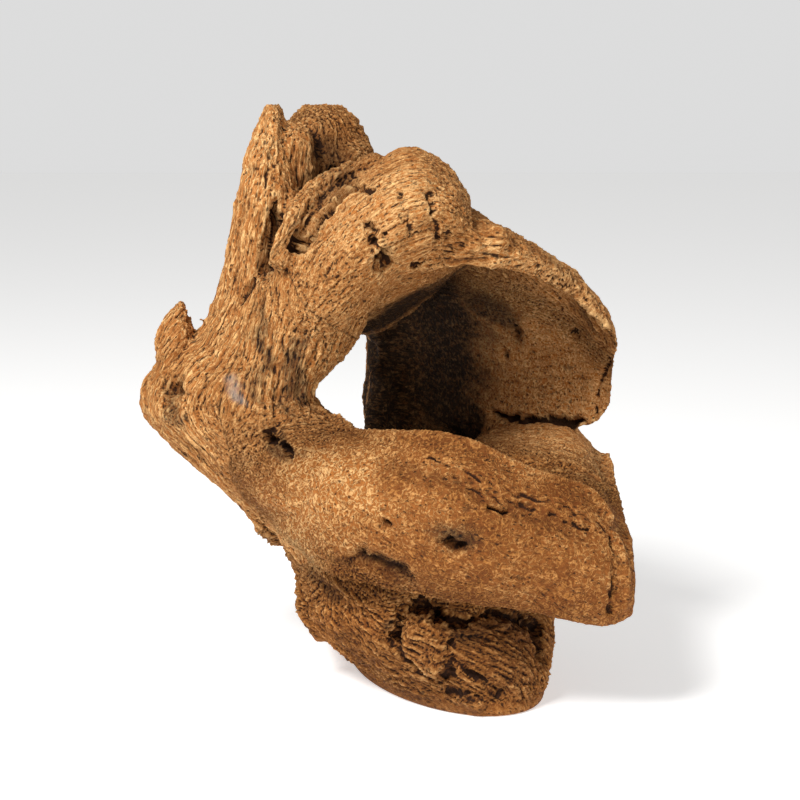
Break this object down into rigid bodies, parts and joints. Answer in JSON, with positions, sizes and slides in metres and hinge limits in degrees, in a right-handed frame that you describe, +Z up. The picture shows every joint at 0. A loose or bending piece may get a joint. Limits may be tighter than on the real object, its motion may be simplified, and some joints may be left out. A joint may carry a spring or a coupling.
{
  "type": "aquarium cave ornament",
  "caption": "Driftwood-shaped resin cave ornament: a gnarled hollow log on a root, open at the front and behind, with a flat foot.",
  "frame": {"origin": "on the ground, under the middle of the ornament's bounding box", "axes": "+Z up, -Y towards the cave's mouth, +X to the right as seen from the mouth"},
  "size_m": [0.1572, 0.139, 0.185],
  "materials": {
    "resin": "matte, painted as weathered wood",
    "pins": "plain nylon"
  },
  "bodies": {
    "root": {"root_casting": "resin", "heel_casting": "resin", "trunk_casting": "resin", "knob_casting": "resin", "hook_casting": "resin", "lip_casting": "resin", "floor_casting": "resin", "back_wall_casting": "resin", "roof_casting": "resin", "fold_casting": "resin", "stump_casting": "resin", "locating_pins": "pins"}
  },
  "joints": []
}
